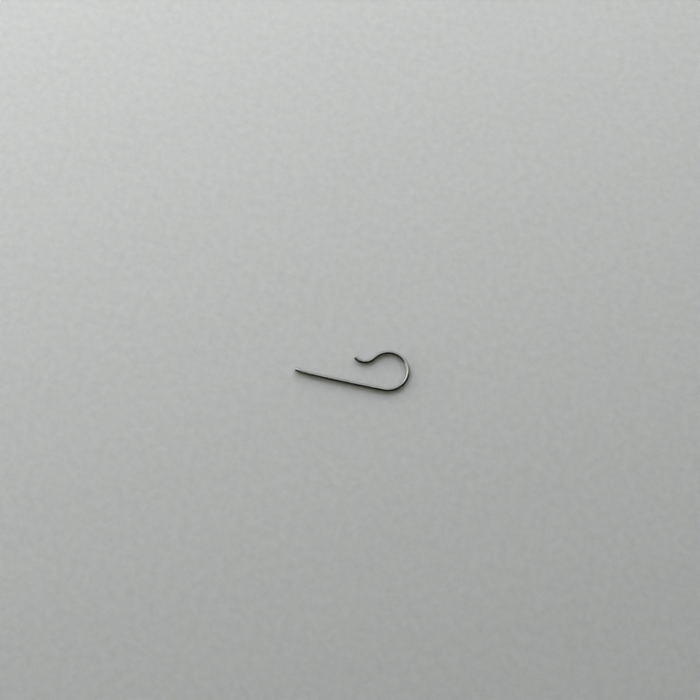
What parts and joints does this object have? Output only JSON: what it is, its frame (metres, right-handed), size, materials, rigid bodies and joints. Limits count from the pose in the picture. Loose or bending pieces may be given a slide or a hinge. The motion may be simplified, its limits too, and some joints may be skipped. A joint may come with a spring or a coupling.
{
  "type": "date jumper spring",
  "caption": "Round spring wire bent flat: a long, slightly bowed leg with a set tip, an almost closed loop and a small reversed hook. It presses a watch's date jumper into the date ring.",
  "frame": {"origin": "centre of the loop's first and larger arc, on the plane that the wire lies on", "axes": "+X from the leg's tip towards the loop, along the chord of the leg; +Y in the spring's plane, from the leg towards the hook; +Z square to the spring's plane, up from the surface that it lies on"},
  "size_m": [0.0054, 0.0022, 0.0002],
  "materials": {
    "spring_steel": "bright drawn and hardened spring steel wire, dark where it mirrors dark surroundings, with faint lines along the wire"
  },
  "bodies": {
    "root": {"spring_wire": "spring_steel"}
  },
  "joints": []
}
